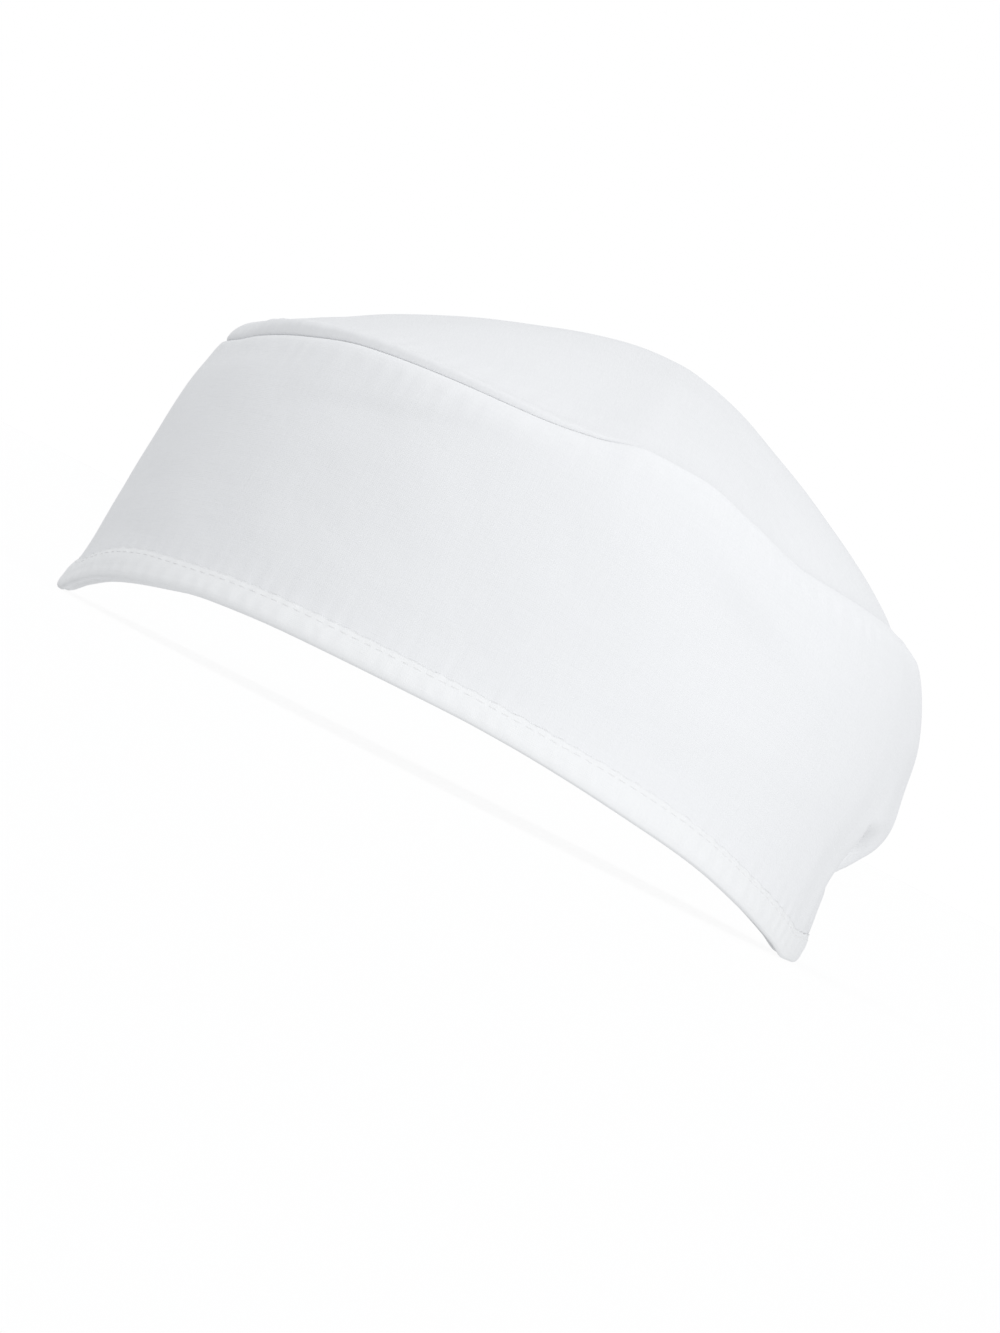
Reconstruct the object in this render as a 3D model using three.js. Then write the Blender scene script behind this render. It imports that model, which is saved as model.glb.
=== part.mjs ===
// A chef's beanie of white cotton. A domed crown is sewn into a deep band, and a narrow binding is
// folded over the band's lower edge. Millimetres, +Z up, front towards -Y. The hat stands on a table
// on the front and the back of its rim, and the rim arches up over the ears between them. The band
// bellies out behind in a pouch that hangs over the hem.
//
// Every piece is a section of cloth carried round the head's oval. A section is drawn with two
// numbers: how far out a point lies, and its height above the table.

import * as THREE from 'three';
import { mergeVertices } from 'three/addons/utils/BufferGeometryUtils.js';

// The oval of the rim, outside the binding, and where its middle lies along the hat
const RIM_HALF_WIDTH = 88.5;
const RIM_HALF_LENGTH = 99.7;
const RIM_MIDDLE_Y = -2.9;
// How much narrower the oval is in front, and wider behind, as a share of its width
const FOREHEAD_TAPER = 0.03;

// Thickness of each cloth, and the gap kept between two pieces
const BAND_THICKNESS = 1.3;
const CROWN_THICKNESS = 1.1;
const BINDING_THICKNESS = 1.0;
const GAP = 0.3;

// The binding's height, the size of its rounded corners, and how far its outside swells halfway up
const BINDING_HEIGHT = 7.5;
const BINDING_CORNER = 0.5;
const BINDING_SWELL = 0.25;

// The turned edge on top of the band, with the degrees of the turn at which it has a point, and the
// seam allowances below it inside the hat
const RIDGE_RADIUS = 1.6;
const RIDGE_TURNS = [0, 60, 120, 180];
const LIP_LENGTH = 3.4;
const CROWN_TUCK = 3.0;

// The top of the dome
const APEX_Y = 7;
const APEX_HEIGHT = 115.5;

// Angles round the hat are in degrees from the front. Sections are wide apart along the plain front
// and sides, and close together behind, where the pouch and the gathers are.
const PLAIN_UNTIL = 135;
const PLAIN_STEPS = 18;
const POUCH_STEPS = 18;

// The rim and the seam round one half of the hat, in millimetres. rim and seam are heights, and
// seamOut is how far outside the rim's oval the band's face stands where it turns in at the seam.
const EDGE_LINES = [
  { angle: 0, rim: 0, seam: 70.4, seamOut: -9.0 },
  { angle: 9, rim: 0, seam: 70.9, seamOut: -9.0 },
  { angle: 17, rim: 3.2, seam: 72.2, seamOut: -9.0 },
  { angle: 25, rim: 6.9, seam: 75.0, seamOut: -9.0 },
  { angle: 38, rim: 10.8, seam: 79.4, seamOut: -8.9 },
  { angle: 50, rim: 13.6, seam: 83.0, seamOut: -8.8 },
  { angle: 65, rim: 15.7, seam: 85.0, seamOut: -8.5 },
  { angle: 82, rim: 16.0, seam: 86.3, seamOut: -8.0 },
  { angle: 90, rim: 16.0, seam: 88.0, seamOut: -7.8 },
  { angle: 98, rim: 15.4, seam: 91.0, seamOut: -7.8 },
  { angle: 106, rim: 14.4, seam: 90.8, seamOut: -7.9 },
  { angle: 117, rim: 12.4, seam: 87.2, seamOut: -8.6 },
  { angle: 130, rim: 9.8, seam: 82.9, seamOut: -9.4 },
  { angle: 145, rim: 5.5, seam: 82.1, seamOut: -10.1 },
  { angle: 157, rim: 2.2, seam: 81.5, seamOut: -10.4 },
  { angle: 165, rim: 0, seam: 81.0, seamOut: -10.5 },
  { angle: 180, rim: 0, seam: 80.8, seamOut: -10.5 },
];

// The angles that the columns of the tables below stand for
const COLUMN_ANGLES = { front: 0, temple: 50, side: 90, haunch: 103, rear: 130, fold: 165, back: 180 };

// The band's outer face, from the top of the hem to the shoulder. up is the share of the way from
// the rim to the seam, and a column is how far outside the rim's oval the face stands.
const BAND_FACE = [
  { up: 0.1, front: -1.8, temple: -1.9, side: -1.9, rear: -1.8, fold: -1.1, back: -0.7 },
  { up: 0.2, front: -2.5, temple: -2.4, side: -1.8, rear: -1.6, fold: -1.1, back: -1.0 },
  { up: 0.28, front: -2.9, temple: -2.6, side: -1.6, rear: -1.2, fold: -0.8, back: -1.4 },
  { up: 0.35, front: -3.2, temple: -2.9, side: -1.5, rear: -0.9, fold: -0.3, back: 2.5 },
  { up: 0.41, front: -3.6, temple: -3.2, side: -1.5, rear: -0.6, fold: 0.9, back: 4.9 },
  { up: 0.48, front: -3.9, temple: -3.5, side: -1.5, rear: -0.5, fold: 2.2, back: 5.8 },
  { up: 0.6, front: -4.7, temple: -4.3, side: -1.8, rear: -0.6, fold: 2.6, back: 4.7 },
  { up: 0.73, front: -5.6, temple: -5.3, side: -2.6, rear: -1.3, fold: 1.6, back: 3.2 },
  { up: 0.84, front: -6.6, temple: -6.4, side: -3.9, rear: -3.2, fold: -1.1, back: -0.3 },
  { up: 0.92, front: -7.8, temple: -7.5, side: -5.4, rear: -5.4, fold: -4.2, back: -4.0 },
  { up: 0.965, front: -8.5, temple: -8.3, side: -6.8, rear: -7.6, fold: -7.0, back: -7.0 },
];

// The crown's edge, from just above the groove over its soft roll, which sinks behind the band's
// high haunch: how far each point lies towards the apex from the groove, and how far above the seam.
const ROLL_INWARD = [
  { front: -0.9, temple: -0.7, side: -0.4, haunch: 1.0, rear: 0.9, back: 0.8 },
  { front: -1.4, temple: -1.5, side: -0.9, haunch: 2.4, rear: 2.2, back: 2.0 },
  { front: -0.2, temple: -1.0, side: -0.4, haunch: 4.2, rear: 4.0, back: 4.0 },
  { front: 2.7, temple: 1.8, side: 1.7, haunch: 7.0, rear: 6.6, back: 6.8 },
];
const ROLL_RISE = [
  { front: 1.2, temple: 0.7, side: 0.4, haunch: -0.4, rear: -0.2, back: 0.1 },
  { front: 3.4, temple: 2.0, side: 1.2, haunch: 0.2, rear: 0.8, back: 1.3 },
  { front: 5.7, temple: 3.3, side: 2.0, haunch: 1.1, rear: 2.1, back: 3.1 },
  { front: 8.3, temple: 4.8, side: 2.9, haunch: 2.6, rear: 4.0, back: 5.2 },
];

// The dome above the roll. inward is the share of the way from the roll to the apex, and a column
// is the share of the rise that the cloth has made there.
const CROWN_DOME = [
  { inward: 0.07, front: 0.11, side: 0.12, back: 0.11 },
  { inward: 0.16, front: 0.24, side: 0.26, back: 0.23 },
  { inward: 0.28, front: 0.42, side: 0.43, back: 0.38 },
  { inward: 0.42, front: 0.59, side: 0.6, back: 0.55 },
  { inward: 0.57, front: 0.74, side: 0.76, back: 0.71 },
  { inward: 0.73, front: 0.88, side: 0.89, back: 0.87 },
  { inward: 0.88, front: 0.98, side: 0.98, back: 0.97 },
];

// The gathers behind, where the slack of the band is drawn into the hem. They reach so many degrees
// either side of the back, and fade out between two shares of the band's height.
const GATHERS = { folds: 5, reach: 30, depth: 1.3, fadeFrom: 0.3, fadeTo: 0.85 };

// The crease below the band's front edge, the dent below its rear shoulder, and the hollow above
// its rear hem. angle and up are the middle, wide and tall the half sizes in degrees and in shares
// of the height, and climb is how much the middle rises with each degree.
const BAND_DENTS = [
  { angle: 60, up: 0.8, wide: 24, tall: 0.08, climb: 0.004, depth: 0.9 },
  { angle: 121, up: 0.78, wide: 17, tall: 0.12, climb: -0.004, depth: 1.6 },
  { angle: 152, up: 0.24, wide: 12, tall: 0.12, climb: 0, depth: 1.2 },
];

/** The angles of the sections in one full turn. The second half mirrors the first. */
function sectionAngles() {
  const half = [];
  for (let step = 0; step < PLAIN_STEPS; step += 1) {
    half.push((PLAIN_UNTIL * step) / PLAIN_STEPS);
  }
  for (let step = 0; step <= POUCH_STEPS; step += 1) {
    half.push(PLAIN_UNTIL + ((180 - PLAIN_UNTIL) * step) / POUCH_STEPS);
  }
  const mirrored = half.slice(1, -1).reverse().map((angle) => -angle);
  return [...half, ...mirrored];
}

/** The slope of a smooth line at knot i: level at the ends and at every peak, so that the line
 * never passes beyond its knots. */
function knotSlope(knots, values, i) {
  if (i === 0 || i === knots.length - 1) return 0;
  const before = (values[i] - values[i - 1]) / (knots[i] - knots[i - 1]);
  const after = (values[i + 1] - values[i]) / (knots[i + 1] - knots[i]);
  return before * after <= 0 ? 0 : (2 * before * after) / (before + after);
}

/** The smooth line through values at knots, read at x. */
function smoothLine(knots, values, x) {
  let i = 0;
  while (i < knots.length - 2 && x > knots[i + 1]) i += 1;
  const span = knots[i + 1] - knots[i];
  const t = (x - knots[i]) / span;
  const rest = 1 - t;
  return (
    values[i] * (1 + 2 * t) * rest * rest +
    values[i + 1] * (3 - 2 * t) * t * t +
    knotSlope(knots, values, i) * span * t * rest * rest -
    knotSlope(knots, values, i + 1) * span * t * t * rest
  );
}

/** One column of EDGE_LINES at an angle. */
function edgeLine(column, angle) {
  const knots = EDGE_LINES.map((row) => row.angle);
  return smoothLine(knots, EDGE_LINES.map((row) => row[column]), Math.abs(angle));
}

/** A row whose columns stand for angles, read at an angle. */
function across(row, angle) {
  const columns = Object.keys(COLUMN_ANGLES).filter((column) => column in row);
  const knots = columns.map((column) => COLUMN_ANGLES[column]);
  return smoothLine(knots, columns.map((column) => row[column]), Math.abs(angle));
}

/** The point of the rim's oval at an angle. */
function ovalPoint(angle) {
  const turn = THREE.MathUtils.degToRad(angle);
  const taper = 1 - FOREHEAD_TAPER * Math.cos(turn);
  const x = RIM_HALF_WIDTH * taper * Math.sin(turn);
  return new THREE.Vector3(x, RIM_MIDDLE_Y - RIM_HALF_LENGTH * Math.cos(turn), 0);
}

/** The level direction square to the oval at an angle, pointing away from the hat. */
function ovalNormal(angle) {
  const halfStep = 0.1;
  const along = ovalPoint(angle + halfStep).sub(ovalPoint(angle - halfStep));
  return new THREE.Vector3(along.y, -along.x, 0).normalize();
}

/** A point that lies so far outside the oval at an angle, at a height. */
function besideOval(angle, [out, height]) {
  return ovalPoint(angle).addScaledVector(ovalNormal(angle), out).setZ(height);
}

/** A soft bump, 1 in the middle and 0 from a distance of 1 on. */
function bump(distance) {
  return Math.abs(distance) < 1 ? (1 + Math.cos(Math.PI * distance)) / 2 : 0;
}

/** How far the gathers and dents move the band's face out, at an angle and a share of its height. */
function bandRelief(angle, up) {
  const away = Math.abs(angle);
  const fromBack = (180 - away) / GATHERS.reach;
  const fade = 1 - THREE.MathUtils.smoothstep(up, GATHERS.fadeFrom, GATHERS.fadeTo);
  const wave = (Math.cos(Math.PI * GATHERS.folds * fromBack) - 1) / 2;
  let relief = GATHERS.depth * bump(fromBack) * fade * wave;
  for (const dent of BAND_DENTS) {
    const middle = dent.up + dent.climb * (away - dent.angle);
    relief -= dent.depth * bump((away - dent.angle) / dent.wide) * bump((up - middle) / dent.tall);
  }
  return relief;
}

/** How far outside the oval the band's outer face stands at a height above the rim inside the
 * binding. The hem flares out, from the first row of BAND_FACE down to the rim's oval. */
function hemFace(angle, height) {
  const [hemTop] = BAND_FACE;
  const rise = hemTop.up * (edgeLine('seam', angle) - edgeLine('rim', angle));
  const atRim = -(BINDING_THICKNESS + GAP);
  const atTop = across(hemTop, angle);
  return atRim + ((atTop - atRim) * height) / rise;
}

/** The band's outer face at an angle, from its cut edge over the ridge to the end of the lip. */
function bandOutline(angle) {
  const rim = edgeLine('rim', angle);
  const rise = edgeLine('seam', angle) - rim;
  const cutEdge = BINDING_THICKNESS + GAP;
  const outline = [[hemFace(angle, cutEdge), rim + cutEdge]];
  BAND_FACE.forEach((row, i) => {
    const relief = i === 0 ? 0 : bandRelief(angle, row.up);
    outline.push([across(row, angle) + relief, rim + row.up * rise]);
  });
  const ridge = ridgeMiddle(angle);
  for (const turned of RIDGE_TURNS) {
    const turn = THREE.MathUtils.degToRad(turned);
    const out = ridge.out + RIDGE_RADIUS * Math.cos(turn);
    outline.push([out, ridge.height + RIDGE_RADIUS * Math.sin(turn)]);
  }
  outline.push([ridge.out - RIDGE_RADIUS, ridge.height - LIP_LENGTH]);
  return outline;
}

/** The middle of the round that the band's cloth makes as it turns in at the seam. */
function ridgeMiddle(angle) {
  return {
    out: edgeLine('seamOut', angle) - RIDGE_RADIUS,
    height: edgeLine('seam', angle) - RIDGE_RADIUS,
  };
}

/** The other face of a cloth whose outer face is an outline. */
function innerFace(outline, thickness) {
  return outline.map(([out, height], i) => {
    const [outBefore, heightBefore] = outline[Math.max(i - 1, 0)];
    const [outAfter, heightAfter] = outline[Math.min(i + 1, outline.length - 1)];
    const before = new THREE.Vector2(out - outBefore, height - heightBefore).normalize();
    const after = new THREE.Vector2(outAfter - out, heightAfter - height).normalize();
    const along = before.add(after).normalize();
    return [out - along.y * thickness, height + along.x * thickness];
  });
}

/** A closed solid from sections in order round the hat. Each section is a loop of as many points,
 * up the outside and down the inside. Triangles that shrink to nothing at an apex are left out. */
function solidThrough(sections) {
  const corners = [];
  const addTriangle = (a, b, c) => {
    if (!a.equals(b) && !b.equals(c) && !c.equals(a)) corners.push(a, b, c);
  };
  sections.forEach((section, turn) => {
    const next = sections[(turn + 1) % sections.length];
    section.forEach((point, i) => {
      const after = (i + 1) % section.length;
      addTriangle(point, next[i], next[after]);
      addTriangle(point, next[after], section[after]);
    });
  });
  const geometry = mergeVertices(new THREE.BufferGeometry().setFromPoints(corners));
  geometry.computeVertexNormals();
  return geometry;
}

function bandSection(angle) {
  const outline = bandOutline(angle);
  const loop = [...outline, ...innerFace(outline, BAND_THICKNESS).reverse()];
  return loop.map((point) => besideOval(angle, point));
}

/** The binding is a U whose slot holds the band's edge with a gap all round. */
function bindingSection(angle) {
  const rim = edgeLine('rim', angle);
  const outerLeg = GAP + BINDING_THICKNESS;
  const innerLeg = BAND_THICKNESS + outerLeg;
  const shoulder = BINDING_HEIGHT - BINDING_CORNER;
  const loop = [
    { beside: BINDING_CORNER - innerLeg, height: 0 },
    { beside: outerLeg - BINDING_CORNER, height: 0 },
    { beside: outerLeg, height: BINDING_CORNER },
    { beside: outerLeg + BINDING_SWELL, height: BINDING_HEIGHT / 2 },
    { beside: outerLeg, height: shoulder },
    { beside: GAP, height: BINDING_HEIGHT },
    { beside: GAP, height: BINDING_THICKNESS },
    { beside: -BAND_THICKNESS - GAP, height: BINDING_THICKNESS },
    { beside: -BAND_THICKNESS - GAP, height: BINDING_HEIGHT },
    { beside: -innerLeg, height: shoulder },
    { beside: -innerLeg, height: BINDING_CORNER },
  ];
  return loop.map(({ beside, height }) => {
    const out = hemFace(angle, height) + beside;
    return besideOval(angle, [out, rim + height]);
  });
}

/** The crown's outer face at an angle, from the end of its tuck to the apex. Here out is measured
 * from the groove, away from the apex, and reach is the level distance between the two. */
function crownOutline(angle, reach) {
  const seam = edgeLine('seam', angle);
  const tuckEnd = seam - RIDGE_RADIUS - CROWN_TUCK;
  const outline = [[0, tuckEnd], [0, seam - GAP]];
  ROLL_INWARD.forEach((row, i) => {
    outline.push([-across(row, angle), seam + across(ROLL_RISE[i], angle)]);
  });
  const [rollOut, rollHeight] = outline.at(-1);
  for (const row of CROWN_DOME) {
    const out = rollOut - row.inward * (reach + rollOut);
    outline.push([out, rollHeight + across(row, angle) * (APEX_HEIGHT - rollHeight)]);
  }
  outline.push([-reach, APEX_HEIGHT]);
  return outline;
}

function crownSection(angle) {
  const ridge = ridgeMiddle(angle);
  const groove = besideOval(angle, [ridge.out - RIDGE_RADIUS - GAP, 0]);
  const apex = new THREE.Vector3(0, APEX_Y, 0);
  const reach = groove.distanceTo(apex);
  const outward = groove.clone().sub(apex).divideScalar(reach);
  const outline = crownOutline(angle, reach);
  const under = innerFace(outline.slice(0, -1), CROWN_THICKNESS).reverse();
  const loop = [...outline, [-reach, APEX_HEIGHT - CROWN_THICKNESS], ...under];
  return loop.map(([out, height]) => apex.clone().addScaledVector(outward, reach + out).setZ(height));
}

/** A named piece made by carrying a section round the hat. */
function piece(name, sectionAt, color, roughness) {
  const material = new THREE.MeshStandardMaterial({ color, roughness, metalness: 0 });
  const mesh = new THREE.Mesh(solidThrough(sectionAngles().map(sectionAt)), material);
  mesh.name = name;
  return mesh;
}

const beanie = new THREE.Group();
beanie.add(piece('crown', crownSection, '#f1f2f4', 0.9));
beanie.add(piece('band', bandSection, '#f3f4f6', 0.92));
beanie.add(piece('hem_binding', bindingSection, '#f4f5f6', 0.92));

export default beanie;
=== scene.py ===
"""A chef's beanie of white cotton on a pale floor, seen from its side.

Sizes are in millimetres, and become metres where a mesh is made. Angles are in degrees round the
head's oval, from the front. Every cloth is a grid of points: one line of them for each section
round the oval, from one edge of the cloth to the other.
"""

import math

import bmesh
import bpy
import numpy as np
from mathutils import Matrix, Vector


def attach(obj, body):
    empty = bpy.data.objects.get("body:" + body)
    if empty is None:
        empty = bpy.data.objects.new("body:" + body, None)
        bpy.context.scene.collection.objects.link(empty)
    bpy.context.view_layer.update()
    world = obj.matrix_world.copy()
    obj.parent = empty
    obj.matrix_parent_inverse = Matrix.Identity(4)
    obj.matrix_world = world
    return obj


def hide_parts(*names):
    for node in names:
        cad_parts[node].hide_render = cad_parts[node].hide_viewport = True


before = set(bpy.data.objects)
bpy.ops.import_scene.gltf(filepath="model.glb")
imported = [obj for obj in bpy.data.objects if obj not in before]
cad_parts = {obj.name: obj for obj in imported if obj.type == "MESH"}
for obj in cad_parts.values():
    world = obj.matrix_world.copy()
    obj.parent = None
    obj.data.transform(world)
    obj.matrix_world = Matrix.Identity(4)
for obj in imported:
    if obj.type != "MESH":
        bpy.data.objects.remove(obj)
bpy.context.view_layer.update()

MM = 0.001

# The oval of the rim, outside the binding, and how much narrower it is in front than behind
RIM_HALF_WIDTH = 88.5
RIM_HALF_LENGTH = 99.7
RIM_MIDDLE_Y = -2.9
FOREHEAD_TAPER = 0.03
MEAN_RADIUS = (RIM_HALF_WIDTH + RIM_HALF_LENGTH) / 2
OVAL_LENGTH = 2 * math.pi * MEAN_RADIUS

# Thickness of each cloth, the gap kept between two pieces, and the smaller one along a seam
BAND_THICKNESS = 1.3
CROWN_THICKNESS = 1.1
BINDING_THICKNESS = 1.0
GAP = 0.3
SEAM_GAP = 0.06
BINDING_HEIGHT = 7.5

# The turned edge on top of the band, and the seam allowances below it inside the hat
RIDGE_RADIUS = 1.6
RIDGE_TURNS = (40, 80, 125, 180)
LIP_LENGTH = 3.4
CROWN_TUCK = 3.0

# The top of the dome
APEX_Y = 7
APEX_HEIGHT = 115

# The rim and the seam round one half of the hat. rim and seam are heights, and seam_out is how far
# outside the rim's oval the band's face stands where it turns in at the seam.
EDGE_LINES = {
    "angle": (0, 9, 17, 25, 38, 50, 65, 82, 90, 98, 106, 117, 130, 145, 157, 165, 180),
    "rim": (0, 0, 3.1, 6.7, 10.7, 14, 15.6, 16.1, 16.2, 15.8, 14.9, 13.1, 10.6, 6, 2.2, 0, 0),
    "seam": (70.4, 70.9, 72.2, 75, 79.4, 83, 85, 86.3, 88, 91, 90.8, 87.2, 82.9, 82.1, 81.3, 80.4,
             79.9),
    "seam_out": (-9, -9, -9, -9, -8.9, -8.8, -8.5, -8, -7.8, -7.8, -7.9, -8.6, -9.4, -10.1, -10.4,
                 -10.5, -10.5),
}

# How much higher than its plain height the binding stands, and how much further out the band's
# cut edge stands in it, round one half of the hat
HEM_RISE = {"angle": (0, 32, 48, 95, 122, 145, 180), "more": (1.1, 1.1, -0.4, -0.4, 0.9, 0.3, 0)}
HEM_FLARE = {"angle": (0, 30, 140, 165, 180), "more": (0.8, 0.5, 0.5, 0.7, 0.8)}

# The angles that the columns of the tables below stand for
COLUMN_ANGLES = {
    "front": 0, "brow": 33, "temple": 50, "side": 90, "haunch": 103, "rear": 130, "fold": 165,
    "back": 180,
}

# The band's outer face, from the top of the hem to the shoulder. up is the share of the way from
# the rim to the seam, and a column is how far outside the rim's oval the face stands.
BAND_FACE = {
    "up": (0.1, 0.2, 0.28, 0.35, 0.41, 0.48, 0.6, 0.73, 0.84, 0.92, 0.965),
    "front": (-2.2, -3.3, -3.6, -3.8, -4.1, -4.4, -5.1, -5.9, -6.9, -8.1, -8.8),
    "temple": (-1.9, -2.4, -2.6, -2.9, -3.2, -3.5, -4.3, -5.3, -6.4, -7.5, -8.3),
    "side": (-1.9, -1.8, -1.6, -1.5, -1.5, -1.5, -1.8, -2.6, -3.9, -5.4, -6.8),
    "rear": (-1.8, -1.6, -1.2, -0.9, -0.6, -0.5, -0.6, -1.3, -3.2, -5.4, -7.6),
    "fold": (-0.8, -1.1, -0.8, -0.3, 0.9, 2.2, 2.6, 1.6, -1.1, -4.2, -7.0),
    "back": (-0.5, -1.5, -1.7, 1.5, 4.4, 5.7, 4.7, 3.1, -0.3, -4.0, -7.0),
}

# The crown's edge. It lies against the inner side of the ridge, up to so many degrees of its round,
# and then leaves it in a soft roll: how far each point lies towards the apex from the groove, and
# how far above the seam.
CROWN_TOUCH = {
    "front": (45, 88),
    "brow": (45, 88),
    "temple": (45, 87),
    "side": (42, 80),
    "haunch": (10, 20),
    "back": (10, 20),
}
CROWN_ROLL_INWARD = {
    "front": (-2.1, -2.3, -1.6, -0.2, 2.7),
    "brow": (-2.0, -2.2, -2.1, -1.3, 1.7),
    "temple": (-1.8, -1.9, -1.85, -1.3, 1.0),
    "side": (-1.4, -1.3, -0.9, 0.1, 2.1),
    "haunch": (0.5, 1.4, 2.6, 4.4, 7.0),
    "rear": (0.4, 1.2, 2.4, 4.2, 6.6),
    "back": (0.4, 1.1, 2.2, 4.2, 6.8),
}
CROWN_ROLL_RISE = {
    "front": (0.35, 1.3, 3.2, 5.3, 7.8),
    "brow": (0.35, 1.5, 3.1, 4.4, 5.4),
    "temple": (0.35, 1.1, 2.0, 2.9, 3.9),
    "side": (0.3, 0.7, 1.2, 1.7, 2.6),
    "haunch": (-0.6, -0.3, 0.3, 1.2, 2.6),
    "rear": (-0.5, 0.0, 0.9, 2.2, 4.0),
    "back": (-0.4, 0.3, 1.4, 3.2, 5.2),
}

# The dome above the roll. inward is the share of the way from the roll to the apex, and a column
# is the share of the rise that the cloth has made there.
CROWN_DOME = {
    "inward": (0.07, 0.16, 0.28, 0.42, 0.57, 0.73, 0.88),
    "front": (0.11, 0.24, 0.42, 0.59, 0.74, 0.88, 0.98),
    "side": (0.12, 0.26, 0.43, 0.6, 0.76, 0.89, 0.98),
    "back": (0.115, 0.24, 0.39, 0.56, 0.715, 0.867, 0.96),
}

# The gathers behind, where the slack of the band is drawn into the hem. They fade out above, at
# shares of the band's height. They and the dents begin at the binding, over so many millimetres.
GATHERS = {
    "folds": 5, "reach": 30, "depth": 1.3, "fade_from": 0.3, "fade_to": 0.85, "clear_of_hem": 4,
}

# The crease below the band's front edge, the dent below its rear shoulder, and the hollow above its
# rear hem, a column for each. angle and up are the middle, wide its reach in degrees, above and
# below its reach in shares of the height, and climb is how much the middle rises with each degree.
BAND_DENTS = {
    "angle": (60, 121, 152),
    "up": (0.8, 0.69, 0.24),
    "wide": (24, 17, 12),
    "above": (0.07, 0.15, 0.12),
    "below": (0.18, 0.36, 0.12),
    "climb": (0.004, -0.004, 0),
    "depth": (0.6, 1.9, 0.2),
}

# The flank of the pouch, where its cloth leaves the band in a fold near the middle of the back. The
# fold runs from low to high and from one angle to another, and over so many degrees behind it,
# wide_low to wide_high, the cloth comes out to the pouch. fade_from and fade_to end it above.
FLANK = {
    "low": 0.28, "high": 0.49, "angle_low": 177.5, "angle_high": 165, "wide_low": 4, "wide_high": 10,
    "fade_from": 0.41, "fade_to": 0.63,
}
# Right behind the fold the cloth is drawn in to a pocket, so many millimetres deep and degrees wide.
# At its low end it has the shares depth_low and wide_low of that, and it reaches its depth at the
# share deepens of its climb. Its floor lies from edge to floor_to, in degrees, and it ends over
# fade_in below and fade_out above, in shares of the band's height.
POCKET = {
    "depth": 3.2, "depth_low": 0.3, "deepens": 0.45, "wide": 9, "wide_low": 0.5, "edge": 1,
    "floor_to": 1.5, "fade_in": 0.06, "fade_out": 0.1,
}

# The slow waves of soft cloth on the band and the crown: their depth, how far apart they are, and
# the distances from the seam, and from the binding, over which they begin
BAND_WAVES = {
    "broad": 0.34, "broad_apart": 62, "small": 0.13, "small_apart": 24, "seam": (2, 10),
    "clear_of_hem": 8,
}
CROWN_WAVES = {
    "broad": 0.4, "broad_apart": 70, "small": 0.12, "small_apart": 26, "seam": (4, 16),
}

# The binding's outside, from the middle of the fold that it stands on to its top edge: how far
# outside the band's face it stands. It is thickest just above the fold, and leans in to the
# stitches, which press its edge against the band.
BINDING_MIDDLE = -BAND_THICKNESS / 2
BINDING_FACE = {
    "height": (0.05, 0.35, 1.0, 2.0, 3.6, 5.2, 6.2, 6.8, 7.3),
    "out": (-0.3, 0.3, 0.72, 0.95, 0.85, 0.6, 0.4, 0.28, 0.12),
}
# The share by which the binding is thinner at its fold, in front and behind, and the heights over
# which that ends
BINDING_PINCH = {"angle": (0, 22, 45, 140, 158, 180), "less": (0.25, 0.25, 0, 0, 0.28, 0.28)}
PINCH_ENDS = (2.5, 5.5)

# The rest of the binding's section: the flat of its fold, the rounding of its edge, the slot that
# holds the band, with its gap at the edge and at its floor, the heights over which the waves of the
# edge begin, and the rows of points up the outside, with the steps between them
BINDING_SECTION = {
    "flat": (-0.15, 0, 0.15),
    "rounding": (0.17, 0.07),
    "slot_floor": 0.9,
    "slot_below_edge": 0.2,
    "slot_points": 5,
    "edge_gap": 0.03,
    "floor_gap": 0.1,
    "waves": (4, 7),
    "rows": (0.05, 1.3, 5.5, 7.3),
    "steps": (7, 8, 7),
}

# The stitches along the binding. Their middle lies out of the cloth by a share of the thread's
# radius, and their ends dip into it.
STITCH_HEIGHT = 6.2
STITCH_PITCH = 3.1
STITCH_LENGTH = 2.5
THREAD_RADIUS = 0.09
THREAD_FLATTENING = 1.15
STITCH_LIFT = 0.25
STITCH_DIP = 1.5

# The slanting ripples of the binding's cloth, between the fold and the stitches and in the lip above
# them, the waves of its edge, and the heights over which the ripples begin and end
BINDING_RIPPLES = {
    "slant": 1.6, "between": 0.12, "lip": 0.08, "edge": 0.2, "deepest": -0.1, "begin": (0.6, 3),
    "end": (4.6, STITCH_HEIGHT),
}

# Puckers along the hem and the seam: pitch, the depth of the waves in the cloth, how soon they fade,
# and the distances below the seam, or above it on the crown, over which they begin
HEM_PUCKERS = {"pitch": 5.2, "depth": 0.12, "fade": 4.0}
RIDGE_PUCKERS = {"pitch": 6.5, "depth": 0.12, "fade": 4.0, "begin": (1, 3)}
CROWN_PUCKERS = {"pitch": 6.5, "depth": 0.16, "fade": 5, "begin": (1.2, 3.5)}

# The threads that stand round the hat, a whole number of them
THREADS_ROUND = 1286
THREAD_PITCH = OVAL_LENGTH / THREADS_ROUND

# How fine the meshes are: sections round the oval, and steps of each stretch of an outline
BAND_SECTIONS = 660
CROWN_SECTIONS = 432
BINDING_SECTIONS = 720
BAND_STEPS = (7, 7, 6, 5, 5, 5, 8, 9, 8, 6, 4, 2, 4, 4, 4, 3)
CROWN_STEPS = (2, 3, 2, 3, 4, 4, 4, 5, 6, 8, 8, 8, 8, 8, 8, 8)
INNER_EVERY = 2


# Lines and tables

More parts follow.
